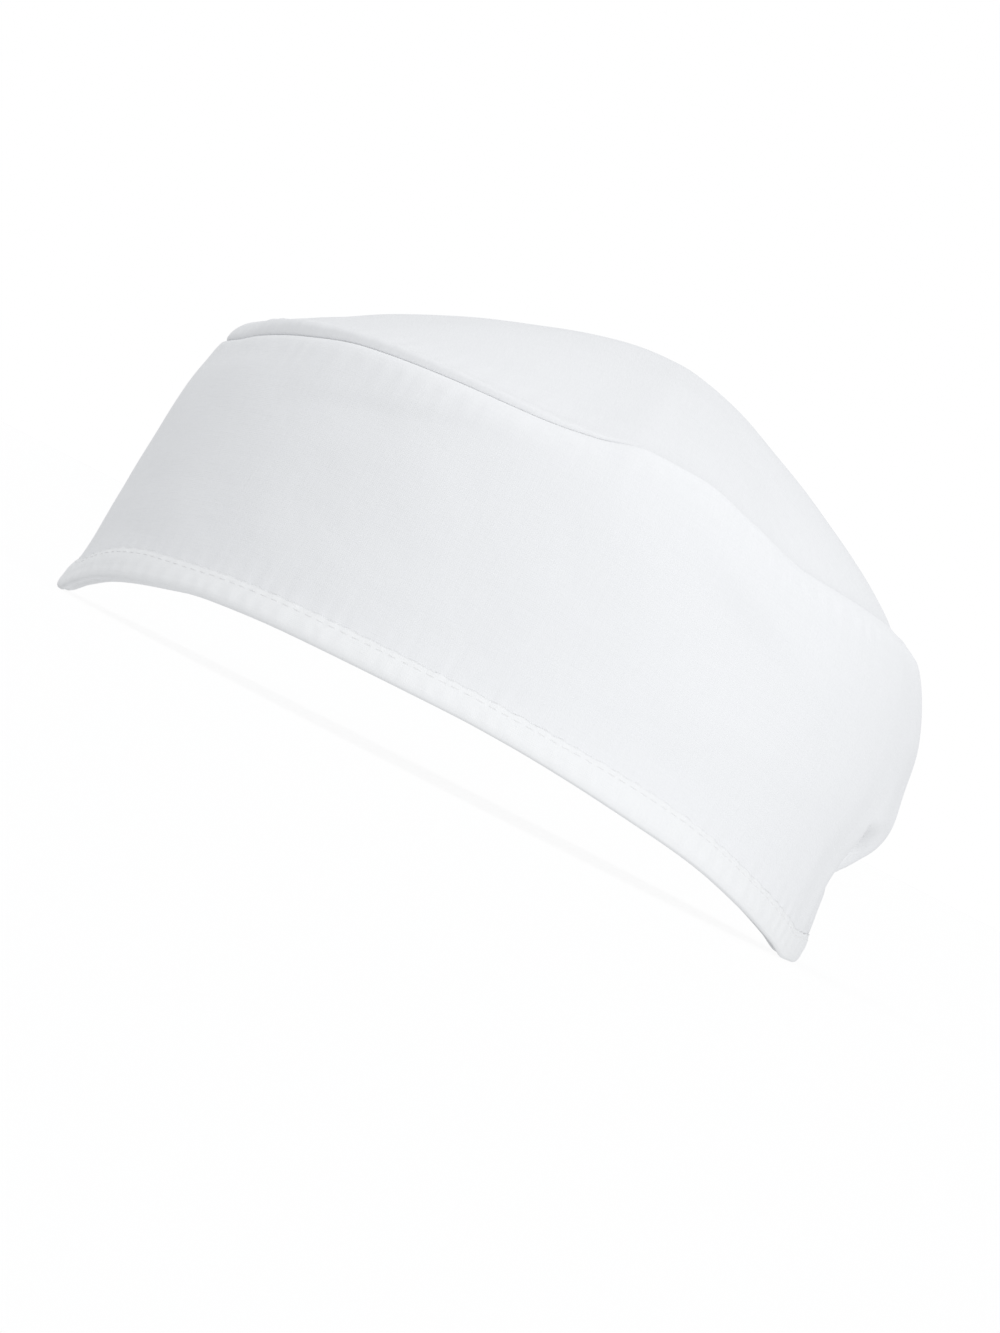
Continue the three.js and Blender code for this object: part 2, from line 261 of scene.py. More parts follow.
def smooth_line(knots, values, x):
    """The smooth line through values at knots, read at x. It is level at both ends and at every
    peak, so it never passes beyond its knots."""
    knots = np.asarray(knots, float)
    values = np.asarray(values, float)
    steps = np.diff(values) / np.diff(knots)
    product = steps[:-1] * steps[1:]
    same_way = product > 0
    slopes = np.zeros(len(knots))
    slopes[1:-1][same_way] = 2 * product[same_way] / (steps[:-1] + steps[1:])[same_way]
    x = np.clip(x, knots[0], knots[-1])
    i = np.clip(np.searchsorted(knots, x, side="right") - 1, 0, len(knots) - 2)
    span = knots[i + 1] - knots[i]
    t = (x - knots[i]) / span
    rest = 1 - t
    return (
        values[i] * (1 + 2 * t) * rest**2
        + values[i + 1] * (3 - 2 * t) * t**2
        + slopes[i] * span * t * rest**2
        - slopes[i + 1] * span * t**2 * rest
    )


def edge_line(column, angle):
    """A column of the table of the rim and the seam, read at an angle."""
    return smooth_line(EDGE_LINES["angle"], EDGE_LINES[column], np.abs(angle))


def across(table, angle):
    """The rows of a table whose columns stand for angles: one line for each angle."""
    columns = [name for name in COLUMN_ANGLES if name in table]
    knots = [COLUMN_ANGLES[name] for name in columns]
    rows = zip(*(table[name] for name in columns))
    return np.stack([smooth_line(knots, row, np.abs(angle)) for row in rows], axis=-1)


def bump(distance):
    """A soft bump, 1 in the middle and 0 from a distance of 1 on."""
    return np.where(np.abs(distance) < 1, (1 + np.cos(np.pi * distance)) / 2, 0)


def ramp(x, start, end):
    """0 before start, 1 after end, and a smooth rise between them."""
    t = np.clip((x - start) / (end - start), 0, 1)
    return t * t * (3 - 2 * t)


def curve_through(points, steps):
    """A smooth line through the points of every section but the first and last, which only give
    it its direction at the ends. Each stretch between two points has its own number of steps."""
    gaps = np.sqrt(np.linalg.norm(np.diff(points, axis=1), axis=-1))[..., None]
    line = []
    for k, count in enumerate(steps):
        p0, p1, p2, p3 = (points[:, k + n, None] for n in range(4))
        d0, d1, d2 = (gaps[:, k + n, None] for n in range(3))
        leave = d1 * ((p1 - p0) / d0 - (p2 - p0) / (d0 + d1) + (p2 - p1) / d1)
        arrive = d1 * ((p2 - p1) / d1 - (p3 - p1) / (d1 + d2) + (p3 - p2) / d2)
        t = (np.arange(count) / count)[None, :, None]
        line.append(
            (2 * t**3 - 3 * t**2 + 1) * p1
            + (t**3 - 2 * t**2 + t) * leave
            + (3 * t**2 - 2 * t**3) * p2
            + (t**3 - t**2) * arrive
        )
    line.append(points[:, -2:-1])
    return np.concatenate(line, axis=1)


def straight_ends(points):
    """The points of every section with one more at each end, straight on."""
    before = 2 * points[:, :1] - points[:, 1:2]
    after = 2 * points[:, -1:] - points[:, -2:-1]
    return np.concatenate([before, points, after], axis=1)


# Uneven cloth

def ripple(points, wavelength, seed, waves=28):
    """A smooth uneven field over the points, mostly from -1 to 1, with hills about wavelength
    apart."""
    random = np.random.default_rng(seed)
    directions = random.normal(size=(waves, 3))
    directions /= np.linalg.norm(directions, axis=1)[:, None]
    numbers = 2 * np.pi / (wavelength * random.uniform(0.75, 1.5, waves))
    phases = random.uniform(0, 2 * np.pi, waves)
    field = np.sin(points @ (directions * numbers[:, None]).T + phases)
    return field.sum(axis=-1) / math.sqrt(2 * waves)


def slow_waves(points, waves, seed):
    """How far the broad and the small waves of soft cloth move each point out."""
    broad = waves["broad"] * ripple(points, waves["broad_apart"], seed)
    return broad + waves["small"] * ripple(points, waves["small_apart"], seed + 1)


def puckers(angle, pitch, seed):
    """Waves round the hat, with crests about pitch apart, uneven as fed cloth is. From -1 to 1."""
    random = np.random.default_rng(seed)
    count = round(OVAL_LENGTH / pitch)
    crests = np.arange(count) + random.uniform(-0.28, 0.28, count)
    heights = random.uniform(0.35, 1, count)
    turn = (np.asarray(angle) / 360) % 1 * count
    around = np.concatenate([crests[-1:] - count, crests, crests[:1] + count])
    phase = np.interp(turn, around, np.arange(-1, count + 1))
    strength = np.interp(turn, around, np.concatenate([heights[-1:], heights, heights[:1]]))
    return np.cos(2 * np.pi * phase) * strength


# The head's oval

def oval_point(angle):
    """A point of the rim's oval, level."""
    turn = np.radians(angle)
    taper = 1 - FOREHEAD_TAPER * np.cos(turn)
    x = RIM_HALF_WIDTH * taper * np.sin(turn)
    return np.stack([x, RIM_MIDDLE_Y - RIM_HALF_LENGTH * np.cos(turn)], axis=-1)


def oval_normal(angle):
    """The level direction square to the oval, pointing away from the hat."""
    half_step = 0.1
    along = oval_point(angle + half_step) - oval_point(angle - half_step)
    normal = np.stack([along[..., 1], -along[..., 0]], axis=-1)
    return normal / np.linalg.norm(normal, axis=-1, keepdims=True)


def beside_oval(angle, out, height):
    """Points that lie so far outside the oval at an angle, at a height."""
    angle, out, height = np.broadcast_arrays(angle, out, height)
    level = oval_point(angle) + oval_normal(angle) * out[..., None]
    return np.concatenate([level, height[..., None]], axis=-1)


def angles_of(sections):
    """The angles of so many sections, from the back and round to it again."""
    return np.linspace(-180, 180, sections, endpoint=False)


# The band

def ridge_middle(angle):
    """How far out and how high the middle of the round is that the band's cloth turns over."""
    return edge_line("seam_out", angle) - RIDGE_RADIUS, edge_line("seam", angle) - RIDGE_RADIUS


def hem_rise(angle):
    """How much higher than its plain height the binding's top edge stands."""
    return smooth_line(HEM_RISE["angle"], HEM_RISE["more"], np.abs(angle))


def hem_face(angle, height):
    """How far outside the oval the band's outer face stands at a height above the rim, inside the
    binding, where the hem flares."""
    rise = BAND_FACE["up"][0] * (edge_line("seam", angle) - edge_line("rim", angle))
    flare = smooth_line(HEM_FLARE["angle"], HEM_FLARE["more"], np.abs(angle))
    at_rim = flare - BINDING_THICKNESS - GAP
    at_top = across(BAND_FACE, angle)[..., 0]
    return at_rim + (at_top - at_rim) * height / rise


def hem_ripple(angle, height):
    """How far the puckers of the hem move the cloth out, at a height above the rim."""
    above = np.maximum(height - BINDING_HEIGHT - hem_rise(angle), 0)
    fade = np.exp(-above / HEM_PUCKERS["fade"]) * ramp(height, 0, STITCH_HEIGHT)
    return HEM_PUCKERS["depth"] * puckers(angle, HEM_PUCKERS["pitch"], seed=3) * fade


def folds_of_band(angle, up):
    """How far the gathers and dents move the band's face out, at a share of its height."""
    away = np.abs(angle)
    from_back = (180 - away) / GATHERS["reach"]
    fade = 1 - ramp(up, GATHERS["fade_from"], GATHERS["fade_to"])
    wave = (np.cos(np.pi * GATHERS["folds"] * from_back) - 1) / 2
    relief = GATHERS["depth"] * bump(from_back) * fade * wave
    for column in zip(*BAND_DENTS.values()):
        dent = dict(zip(BAND_DENTS, column))
        middle = dent["up"] + dent["climb"] * (away - dent["angle"])
        beside = bump((away - dent["angle"]) / dent["wide"])
        tall = np.where(up > middle, dent["above"], dent["below"])
        relief = relief - dent["depth"] * beside * bump((up - middle) / tall)
    return relief


def flank_of_pouch(angle, up):
    """How far the band's face moves where the pouch leaves it: the soft rise of the table becomes
    a steep one behind the fold."""
    away = np.abs(angle)
    lift = np.interp(up, BAND_FACE["up"], np.subtract(BAND_FACE["back"], BAND_FACE["fold"]))
    climb = (up - FLANK["low"]) / (FLANK["high"] - FLANK["low"])
    share = np.clip(climb, 0, 1)
    fold = FLANK["angle_low"] + (FLANK["angle_high"] - FLANK["angle_low"]) * share
    wide = FLANK["wide_low"] + (FLANK["wide_high"] - FLANK["wide_low"]) * share
    steep = ramp(away, fold, fold + wide)
    soft = ramp(away, COLUMN_ANGLES["fold"], COLUMN_ANGLES["back"])
    fade = 1 - ramp(up, FLANK["fade_from"], FLANK["fade_to"])
    pocket_end = fold + POCKET["wide"] * (POCKET["wide_low"] + (1 - POCKET["wide_low"]) * share)
    pocket = ramp(away, fold, fold + POCKET["edge"])
    pocket = pocket * (1 - ramp(away, fold + POCKET["floor_to"], pocket_end))
    pocket = pocket * ramp(up, FLANK["low"] - POCKET["fade_in"], FLANK["low"])
    pocket = pocket * (1 - ramp(up, FLANK["high"] - POCKET["fade_out"], FLANK["high"]))
    deepening = ramp(climb, 0, POCKET["deepens"])
    depth = POCKET["depth"] * (POCKET["depth_low"] + (1 - POCKET["depth_low"]) * deepening)
    return fade * np.maximum(lift, 0) * (steep - soft) - depth * pocket


def band_outline(angle):
    """The band's outer face from its cut edge over the ridge to the end of the lip, as distances
    outside the oval and heights."""
    rim = edge_line("rim", angle)
    rise = edge_line("seam", angle) - rim
    cut_edge = BINDING_THICKNESS + GAP
    face = across(BAND_FACE, angle)
    up = np.array(BAND_FACE["up"])
    ridge_out, ridge_height = ridge_middle(angle)
    turns = np.radians(RIDGE_TURNS)
    out = np.column_stack([
        hem_face(angle, cut_edge),
        face,
        ridge_out[:, None] + RIDGE_RADIUS * np.cos(turns),
        ridge_out - RIDGE_RADIUS,
    ])
    height = np.column_stack([
        rim + cut_edge,
        rim[:, None] + up * rise[:, None],
        ridge_height[:, None] + RIDGE_RADIUS * np.sin(turns),
        ridge_height - LIP_LENGTH,
    ])
    return curve_through(straight_ends(np.stack([out, height], axis=-1)), BAND_STEPS)


def face_steps():
    """How many points of the band's outline come before the ridge."""
    return sum(BAND_STEPS[:len(BAND_FACE["up"]) + 1])


def band_relief(angle, outline, points):
    """How far each point of the band's outer face moves out: gathers, dents, puckers by the seams
    and the slow waves of soft cloth."""
    angle = angle[:, None]
    rim = edge_line("rim", angle)
    above_rim = outline[..., 1] - rim
    up = above_rim / (edge_line("seam", angle) - rim)
    on_face = np.arange(outline.shape[1]) <= face_steps()
    below_ridge = edge_line("seam", angle) - outline[..., 1]
    above_hem = above_rim - BINDING_HEIGHT
    clear = ramp(above_hem, 0, BAND_WAVES["clear_of_hem"]) * ramp(below_ridge, *BAND_WAVES["seam"])
    start, full = RIDGE_PUCKERS["begin"]
    ridge = ramp(below_ridge, start, full) * puckers(angle, RIDGE_PUCKERS["pitch"], seed=5)
    ridge = ridge * np.exp(-np.maximum(below_ridge - full, 0) / RIDGE_PUCKERS["fade"])
    relief = folds_of_band(angle, up) * ramp(above_hem, 0, GATHERS["clear_of_hem"])
    relief = relief + flank_of_pouch(angle, up)
    relief = relief + clear * slow_waves(points, BAND_WAVES, seed=11)
    relief = relief + RIDGE_PUCKERS["depth"] * ridge + hem_ripple(angle, above_rim)
    return np.where(on_face, relief, 0)


# Cloth as a grid of points

def normals_of(grid):
    """The direction away from the hat at every point of a grid that closes round the hat."""
    around = np.roll(grid, -1, axis=0) - np.roll(grid, 1, axis=0)
    up = np.gradient(grid, axis=1)
    normal = np.cross(around, up)
    length = np.linalg.norm(normal, axis=-1, keepdims=True)
    return normal / np.maximum(length, 1e-9)


def lengths_along(grid):
    """The distance that each point of a grid lies from the start of its section."""
    steps = np.linalg.norm(np.diff(grid, axis=1), axis=-1)
    return np.concatenate([np.zeros((len(grid), 1)), np.cumsum(steps, axis=1)], axis=1)


def band_grids():
    """The band's outer and inner faces."""
    angle = angles_of(BAND_SECTIONS)
    outline = band_outline(angle)
    base = beside_oval(angle[:, None], outline[..., 0], outline[..., 1])
    normal = normals_of(base)
    outer = base + normal * band_relief(angle, outline, base)[..., None]
    inner = outer - normal * BAND_THICKNESS
    return outer, inner


# The crown

def crown_outline(angle, reach):
    """The crown's outer face from the end of its tuck to the apex, as distances outside the
    groove and heights. reach is how far the apex lies from the groove."""
    seam = edge_line("seam", angle)
    roll_out = -across(CROWN_ROLL_INWARD, angle)
    roll_height = seam[:, None] + across(CROWN_ROLL_RISE, angle)
    last_out = roll_out[:, -1:]
    last_height = roll_height[:, -1:]
    inward = np.array(CROWN_DOME["inward"])
    dome_out = last_out - inward * (reach[:, None] + last_out)
    dome_height = last_height + across(CROWN_DOME, angle) * (APEX_HEIGHT - last_height)
    upright = np.zeros(len(angle))
    middle_height = seam - RIDGE_RADIUS
    turns = np.radians(across(CROWN_TOUCH, angle))
    touch_out = (RIDGE_RADIUS + SEAM_GAP) * (1 - np.cos(turns))
    touch_height = middle_height[:, None] + (RIDGE_RADIUS + SEAM_GAP) * np.sin(turns)
    apex_height = np.full(len(angle), APEX_HEIGHT)
    # A point past the apex, the mirror of the last one before it, keeps the cloth level there
    past_out = -2 * reach - dome_out[:, -1]
    past_height = dome_height[:, -1]
    out = np.column_stack([upright, upright, touch_out, roll_out, dome_out, -reach, past_out])
    height = np.column_stack([
        middle_height - CROWN_TUCK,
        middle_height,
        touch_height,
        roll_height,
        dome_height,
        apex_height,
        past_height,
    ])
    points = np.stack([out, height], axis=-1)
    return curve_through(straight_ends(points)[:, :-1], CROWN_STEPS)


def crown_grids():
    """The crown's outer and inner faces. The last point of every section is the apex."""
    angle = angles_of(CROWN_SECTIONS)
    groove = beside_oval(angle, ridge_middle(angle)[0] - RIDGE_RADIUS - SEAM_GAP, 0)
    apex = np.array([0, APEX_Y, 0])
    reach = np.linalg.norm(groove - apex, axis=-1)
    outward = (groove - apex) / reach[:, None]
    outline = crown_outline(angle, reach)
    base = apex + outward[:, None] * (reach[:, None, None] + outline[..., :1])
    base[..., 2] = outline[..., 1]
    normal = normals_of(base)
    normal[:, -1] = (0, 0, 1)
    above_seam = outline[..., 1] - edge_line("seam", angle)[:, None]
    inward = -outline[..., 0]
    waves = ramp(inward, *CROWN_WAVES["seam"]) * slow_waves(base, CROWN_WAVES, seed=21)
    crests = puckers(angle, CROWN_PUCKERS["pitch"], seed=6)[:, None]
    crests = crests * ramp(above_seam, *CROWN_PUCKERS["begin"])
    crests = crests * np.exp(-np.maximum(inward - 1, 0) / CROWN_PUCKERS["fade"])
    outer = base + normal * (waves + CROWN_PUCKERS["depth"] * crests)[..., None]
    inner = outer - normal * CROWN_THICKNESS
    return outer, inner


# The hem binding and its stitches

def hem_point(angle, beside, height):
    """A point so far outside the band's face in the hem, at a height above the rim."""
    out = hem_face(angle, height) + beside + hem_ripple(angle, height)
    return beside_oval(angle, out, edge_line("rim", angle) + height)


def binding_ripple(angle, height):
    """How far the binding's outside stands proud in slanting ripples."""
    between = ramp(height, *BINDING_RIPPLES["begin"]) * (1 - ramp(height, *BINDING_RIPPLES["end"]))
    lip = ramp(height, STITCH_HEIGHT, BINDING_HEIGHT)
    slanted = angle + BINDING_RIPPLES["slant"] * height / BINDING_HEIGHT
    waves = puckers(slanted, HEM_PUCKERS["pitch"], seed=3)
    return BINDING_RIPPLES["between"] * waves * between + BINDING_RIPPLES["lip"] * waves * lip


def binding_face(angle, height, side):
    """Points of the binding's outside. side is 1 for the leg outside the hat, -1 for the other."""
    share = np.minimum(height / (BINDING_HEIGHT + hem_rise(angle)), 1)
    plain = share * BINDING_HEIGHT
    half = smooth_line(BINDING_FACE["height"], BINDING_FACE["out"], plain) - BINDING_MIDDLE
    half = half + np.maximum(binding_ripple(angle, plain), BINDING_RIPPLES["deepest"])
    pinch = smooth_line(BINDING_PINCH["angle"], BINDING_PINCH["less"], np.abs(angle))
    half = half * (1 - pinch * (1 - ramp(plain, *PINCH_ENDS)))
    return hem_point(angle, BINDING_MIDDLE + side * half, height)


def binding_rows():
    """The heights of the rows of points up the binding's outside."""
    knots = BINDING_SECTION["rows"]
    stretches = zip(knots, knots[1:], BINDING_SECTION["steps"])
    rows = [np.linspace(low, high, steps, endpoint=False) for low, high, steps in stretches]
    return np.append(np.concatenate(rows), knots[-1])


def binding_grid():
    """Closed loops round the binding's section: along the fold, up the outside, over the edge,
    down and up the slot that holds the band, and down the inside."""
    section = BINDING_SECTION
    angle = angles_of(BINDING_SECTIONS)[:, None]
    waves = BINDING_RIPPLES["edge"] * puckers(angle, HEM_PUCKERS["pitch"], seed=4)
    edge = waves + hem_rise(angle)
    top = BINDING_HEIGHT + edge
    rows = binding_rows()
    raised = rows + edge * ramp(rows, *section["waves"])
    down = np.linspace(1, 0, section["slot_points"])
    slot_tall = top - section["slot_below_edge"] - section["slot_floor"]
    slot_height = section["slot_floor"] + down * slot_tall
    slot_gap = section["edge_gap"] * down + section["floor_gap"] * (1 - down)
    slot_half = BAND_THICKNESS / 2 + slot_gap
    edge_half = BAND_THICKNESS / 2 + np.array(section["rounding"])
    loop = [
        hem_point(angle, BINDING_MIDDLE + np.array(section["flat"]), 0.0),
        binding_face(angle, raised, 1),
        hem_point(angle, BINDING_MIDDLE + edge_half, top),
        hem_point(angle, BINDING_MIDDLE + slot_half, slot_height),
        hem_point(angle, BINDING_MIDDLE - slot_half[::-1], slot_height[:, ::-1]),
        hem_point(angle, BINDING_MIDDLE - edge_half[::-1], top),
        binding_face(angle, raised[:, ::-1], -1),
    ]
    return np.concatenate(loop, axis=1)


def stitch_rings(start, side):
    """The points of one stitch: rings of thread along a shallow arc that dips into the cloth."""
    rings = 7
    points_round = 6
    step_up = 0.4
    along = np.linspace(0, 1, rings)
    from_middle = 2 * along - 1
    angle = start + along * STITCH_LENGTH * 360 / OVAL_LENGTH
    height = STITCH_HEIGHT + hem_rise(angle)
    middle = binding_face(angle, height, side)
    above = binding_face(angle, height + step_up, side)
    lengthways = np.gradient(middle, axis=0)
    lengthways /= np.linalg.norm(lengthways, axis=1)[:, None]
    upward = above - middle
    upward -= lengthways * (upward * lengthways).sum(axis=1)[:, None]
    upward /= np.linalg.norm(upward, axis=1)[:, None]
    outward = np.cross(lengthways, upward) * side
    round_end = np.sqrt(np.maximum(1 - from_middle**6, 0.02))
    lift = THREAD_RADIUS * (STITCH_LIFT - STITCH_DIP * from_middle**4)
    ring = []
    for turn in 2 * np.pi * np.arange(points_round) / points_round:
        out = lift + THREAD_RADIUS * round_end * math.cos(turn)
        up = THREAD_RADIUS * THREAD_FLATTENING * round_end * math.sin(turn) * side
        ring.append(middle + outward * out[:, None] + upward * up[:, None])
    return np.stack(ring, axis=1)


# Meshes

def new_object(name, vertices, faces):
    """An object at the origin, its vertices given in millimetres."""
    mesh = bpy.data.meshes.new(name)
    mesh.from_pydata((vertices * MM).tolist(), [], faces)
    mesh.validate()
    mesh.shade_smooth()
    piece = bpy.data.objects.new(name, mesh)
    bpy.context.scene.collection.objects.link(piece)
    return piece


def loft(name, loops, cloth):
    """A closed body from loops of points in order round the hat. cloth gives each point's place
    in the flat cloth, which goes to the mesh as an attribute for its material."""
    sections, count = loops.shape[:2]
    index = np.arange(sections * count).reshape(sections, count)
    following = np.roll(index, -1, axis=0)
    after = np.roll(index, -1, axis=1)
    diagonal = np.roll(following, -1, axis=1)
    faces = np.stack([index, following, diagonal, after], axis=-1).reshape(-1, 4)
    piece = new_object(name, loops.reshape(-1, 3), faces.tolist())
    attribute = piece.data.attributes.new("cloth", "FLOAT_VECTOR", "POINT")
    attribute.data.foreach_set("vector", cloth.reshape(-1, 3).ravel())
    return piece


def thick_cloth(name, outer, inner, cloth):
    """A closed body between two faces of one cloth. The inner face takes every second point."""
    kept = sorted({*range(0, outer.shape[1], INNER_EVERY), outer.shape[1] - 1}, reverse=True)
    loops = np.concatenate([outer, inner[:, kept]], axis=1)
    return loft(name, loops, np.concatenate([cloth, cloth[:, kept]], axis=1))


def round_cloth(angle, grid):
    """The place of each point of a grid in a cloth that is wound to a cylinder, so that its
    threads close round the hat: x and y go round, and z is the way along the section."""
    up = lengths_along(grid)
    turn = np.broadcast_to(np.radians(angle)[:, None], up.shape)
    return np.stack([MEAN_RADIUS * np.cos(turn), MEAN_RADIUS * np.sin(turn), up], axis=-1)


def merge_apex(piece):
    """Makes one point of the many that meet at the apex on each face of the crown."""
    work = bmesh.new()
    work.from_mesh(piece.data)
    bmesh.ops.remove_doubles(work, verts=work.verts, dist=1e-6)
    work.to_mesh(piece.data)
    work.free()


def make_band():
    outer, inner = band_grids()
    return thick_cloth("band_cloth", outer, inner, round_cloth(angles_of(BAND_SECTIONS), outer))


def make_crown():
    outer, inner = crown_grids()
    piece = thick_cloth("crown_cloth", outer, inner, outer)
    merge_apex(piece)
    return piece


def make_binding():
    loops = binding_grid()
    return loft("hem_binding_cloth", loops, round_cloth(angles_of(BINDING_SECTIONS), loops))


def make_stitches():
    """Two rows of stitches through the binding, one on each side, as one mesh."""
    count = round(OVAL_LENGTH / STITCH_PITCH)
    vertices = []
    faces = []
    for side in (1, -1):
        for start in np.arange(count) * 360 / count - 180:
            rings = stitch_rings(start, side)
            first = sum(len(part) for part in vertices)
            length, round_count = rings.shape[:2]
            vertices.append(rings.reshape(-1, 3))
            for i in range(length - 1):
                for j in range(round_count):
                    a = first + i * round_count + j
                    b = first + i * round_count + (j + 1) % round_count
                    faces.append((a, b, b + round_count, a + round_count))
            faces.append(tuple(range(first + round_count - 1, first - 1, -1)))
            last = first + (length - 1) * round_count
            faces.append(tuple(range(last, last + round_count)))
    return new_object("hem_stitches", np.concatenate(vertices), faces)


# Materials

class Nodes:
    """Adds nodes to a tree with few words. An input is a number, a colour or another node's
    output."""

    def __init__(self, tree):
        self.tree = tree

    def feed(self, socket, value):
        if isinstance(value, bpy.types.NodeSocket):
            self.tree.links.new(value, socket)
        else:
            socket.default_value = value

    def give(self, node, **inputs):
        """Feeds a node's inputs by name, with _ for a space."""
        for name, value in inputs.items():
            self.feed(node.inputs[name.replace("_", " ")], value)

    def add(self, kind, **inputs):
        node = self.tree.nodes.new(kind)
        self.give(node, **inputs)
        return node

    def math(self, operation, *values):
        node = self.tree.nodes.new("ShaderNodeMath")
        node.operation = operation
        for socket, value in zip(node.inputs, values):
            self.feed(socket, value)
        return node.outputs[0]

    def stretched(self, vector, scale):
        """The vector with each of its numbers multiplied."""
        node = self.tree.nodes.new("ShaderNodeVectorMath")
        node.operation = "MULTIPLY"
        self.feed(node.inputs[0], vector)
        self.feed(node.inputs[1], scale)
        return node.outputs[0]

    def tinted(self, colour, shade):
        """The colour made darker or lighter by an output."""
        node = self.tree.nodes.new("ShaderNodeVectorMath")
        node.operation = "SCALE"
        self.feed(node.inputs[0], colour)
        self.feed(node.inputs["Scale"], shade)
        return node.outputs[0]

    def noise(self, vector, scale, detail=2.0):
        node = self.add("ShaderNodeTexNoise", Vector=vector, Scale=scale, Detail=detail)
        return node.outputs["Fac"]

    def bump(self, height, distance, strength, normal=None):
        """A relief of a height, and of a distance in metres, on top of another one."""
        node = self.add("ShaderNodeBump", Height=height, Distance=distance, Strength=strength)
        if normal is not None:
            self.give(node, Normal=normal)
        return node.outputs["Normal"]


def new_material(name):
    """A new material, its nodes and its shader."""
    material = bpy.data.materials.new(name)
    material.use_nodes = True
    tree = material.node_tree
    return material, Nodes(tree), tree.nodes["Principled BSDF"]


def cotton(name, colour, wound=True):
    """White cotton in plain weave. The threads run along x and y of the flat cloth, or round and
    along the cylinder that it is wound to."""
    material, nodes, shader = new_material(name)
    nodes.give(shader, Roughness=0.88, Specular_IOR_Level=0.25)
    nodes.give(shader, Sheen_Weight=0.25, Sheen_Roughness=0.5)

    cloth = nodes.add("ShaderNodeAttribute")
    cloth.attribute_name = "cloth"
    place = cloth.outputs["Vector"]
    split = nodes.add("ShaderNodeSeparateXYZ", Vector=place)
    # How often the thread's thickness changes in a millimetre, across the threads and along them
    fine = 2.2
    long = 0.14
    if wound:
        turn = nodes.math("ARCTAN2", split.outputs["Y"], split.outputs["X"])
        across_warp = nodes.math("MULTIPLY", turn, MEAN_RADIUS)
        across_weft = split.outputs["Z"]
        along_warp = (fine, fine, long)
        along_weft = (long, long, fine)
    else:
        across_warp = split.outputs["X"]
        across_weft = split.outputs["Y"]
        along_warp = (fine, long, long)
        along_weft = (long, fine, long)
    waves = math.pi / THREAD_PITCH
    warp = nodes.math("SINE", nodes.math("MULTIPLY", across_warp, waves))
    weft = nodes.math("SINE", nodes.math("MULTIPLY", across_weft, waves))
    weave = nodes.math("ABSOLUTE", nodes.math("MULTIPLY", warp, weft))

    # Threads of uneven thickness, as fine streaks both ways
    warp_slubs = nodes.noise(nodes.stretched(place, along_warp), 1.0)
    weft_slubs = nodes.noise(nodes.stretched(place, along_weft), 1.0)
    slubs = nodes.math("ADD", warp_slubs, weft_slubs)
    creases = nodes.noise(nodes.stretched(place, (0.08, 0.08, 0.1)), 1.0, detail=3.0)

    normal = nodes.bump(creases, distance=1.0 * MM, strength=0.3)
    normal = nodes.bump(slubs, distance=0.08 * MM, strength=0.4, normal=normal)
    normal = nodes.bump(weave, distance=0.05 * MM, strength=0.4, normal=normal)
    shade = nodes.add(
        "ShaderNodeMapRange", Value=slubs, From_Min=0.6, From_Max=1.4, To_Min=0.985, To_Max=1.01,
    )
    tint = nodes.tinted(colour, shade.outputs["Result"])
    nodes.give(shader, Normal=normal, Base_Color=tint)
    return material


def thread_material():
    """Thread, a little uneven along its length."""
    material, nodes, shader = new_material("thread")
    nodes.give(shader, Roughness=0.6, Sheen_Weight=0.2)
    place = nodes.add("ShaderNodeTexCoord").outputs["Object"]
    twist = nodes.noise(place, 4000.0)
    shade = nodes.add("ShaderNodeMapRange", Value=twist, To_Min=0.76, To_Max=0.86)
    normal = nodes.bump(twist, distance=0.08 * MM, strength=0.5)
    nodes.give(shader, Normal=normal, Base_Color=shade.outputs["Result"])
    return material


# The stage

def make_floor():
    """A pale floor, a hair below what stands on it, thin enough for the backdrop to show through."""
    half = 30.0
    below = -0.00005
    outline = ((-half, -half), (half, -half), (half, half), (-half, half))
    mesh = bpy.data.meshes.new("floor")
    mesh.from_pydata([(x, y, below) for x, y in outline], [], [(0, 1, 2, 3)])
    floor = bpy.data.objects.new("floor", mesh)
    bpy.context.scene.collection.objects.link(floor)
    material, nodes, shader = new_material("pale_floor")
    nodes.give(shader, Base_Color=(0.86, 0.86, 0.86, 1), Alpha=0.07)
    nodes.give(shader, Roughness=0.9, Specular_IOR_Level=0.1)
    nodes.give(shader, Emission_Color=(1, 1, 1, 1), Emission_Strength=0.08)
    mesh.materials.append(material)


def make_world(glow, backdrop):
    """Soft light from all round, of strength glow, in front of a plain white backdrop."""
    world = bpy.data.worlds.new("studio")
    world.use_nodes = True
    bpy.context.scene.world = world
    tree = world.node_tree
    nodes = Nodes(tree)
    soft = tree.nodes["Background"]
    nodes.give(soft, Color=(0.965, 0.98, 1.0, 1), Strength=glow)
    seen = nodes.add("ShaderNodeBackground", Color=(1, 1, 1, 1), Strength=backdrop)
    path = nodes.add("ShaderNodeLightPath")
    mix = nodes.add("ShaderNodeMixShader", Fac=path.outputs["Is Camera Ray"])
    nodes.feed(mix.inputs[1], soft.outputs[0])
    nodes.feed(mix.inputs[2], seen.outputs[0])
    nodes.give(tree.nodes["World Output"], Surface=mix.outputs[0])


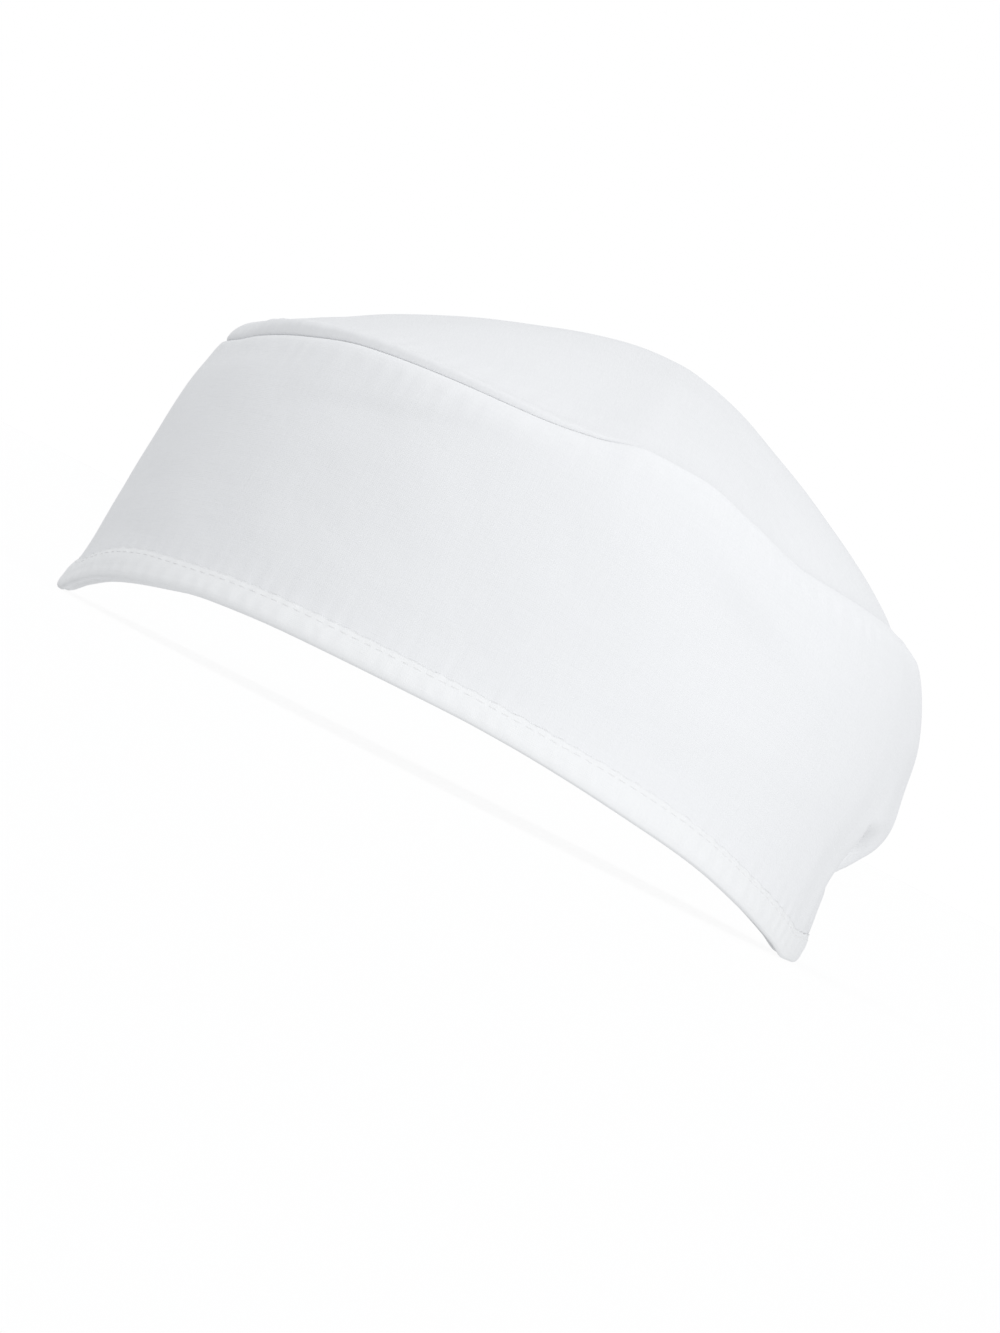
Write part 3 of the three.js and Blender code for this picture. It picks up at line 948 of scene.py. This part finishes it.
def make_sun(name, toward, strength, softness):
    """A broad soft light from the direction toward."""
    light = bpy.data.lights.new(name, "SUN")
    light.energy = strength
    light.angle = math.radians(softness)
    lamp = bpy.data.objects.new(name, light)
    bpy.context.scene.collection.objects.link(lamp)
    lamp.rotation_mode = "QUATERNION"
    lamp.rotation_quaternion = Vector(toward).to_track_quat("Z", "Y")


# The camera, in metres and degrees. It looks level at the hat's side, and is rolled, so that the hat
# looks tilted as worn. VIEW_HEIGHT is how much shows from top to bottom at the hat.
CAMERA_DISTANCE = 2.0
CAMERA_Y = 0.0013
CAMERA_HEIGHT = 0.0311
CAMERA_ROLL = 27.061
VIEW_HEIGHT = 0.31936
SENSOR = 36


def make_camera():
    camera = bpy.data.objects.new("camera", bpy.data.cameras.new("camera"))
    bpy.context.scene.collection.objects.link(camera)
    bpy.context.scene.camera = camera
    camera.data.sensor_width = SENSOR
    camera.data.lens = SENSOR * CAMERA_DISTANCE / VIEW_HEIGHT
    camera.data.clip_end = 200
    roll = math.radians(CAMERA_ROLL)
    right = Vector((0, math.cos(roll), math.sin(roll)))
    up = Vector((0, -math.sin(roll), math.cos(roll)))
    back = Vector((1, 0, 0))
    turn = Matrix((right, up, back)).transposed().to_4x4()
    place = Vector((CAMERA_DISTANCE, CAMERA_Y, CAMERA_HEIGHT))
    camera.matrix_world = Matrix.Translation(place) @ turn


def dress(piece, material, slot, *nodes):
    """Gives a piece its material and its place in the frame."""
    piece.data.materials.append(material)
    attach(piece, "root")
    if nodes:
        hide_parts(*nodes)


# The scene

bpy.context.scene.view_settings.view_transform = "Standard"
make_camera()
make_floor()
make_world(glow=0.655, backdrop=1.0)
make_sun("key", toward=(0.84, 0.53, 0), strength=1.35, softness=60)
make_sun("top", toward=(0, -0.3, 0.95), strength=1.04, softness=60)

band = make_band()
crown = make_crown()
binding = make_binding()
stitches = make_stitches()
dress(band, cotton("band_cotton", (0.83, 0.835, 0.845)), "band_cloth", "band")
dress(crown, cotton("crown_cotton", (0.805, 0.81, 0.82), wound=False), "crown_cloth", "crown")
dress(binding, cotton("binding_cotton", (0.845, 0.85, 0.855)), "binding_cloth", "hem_binding")
dress(stitches, thread_material(), "binding_cloth")
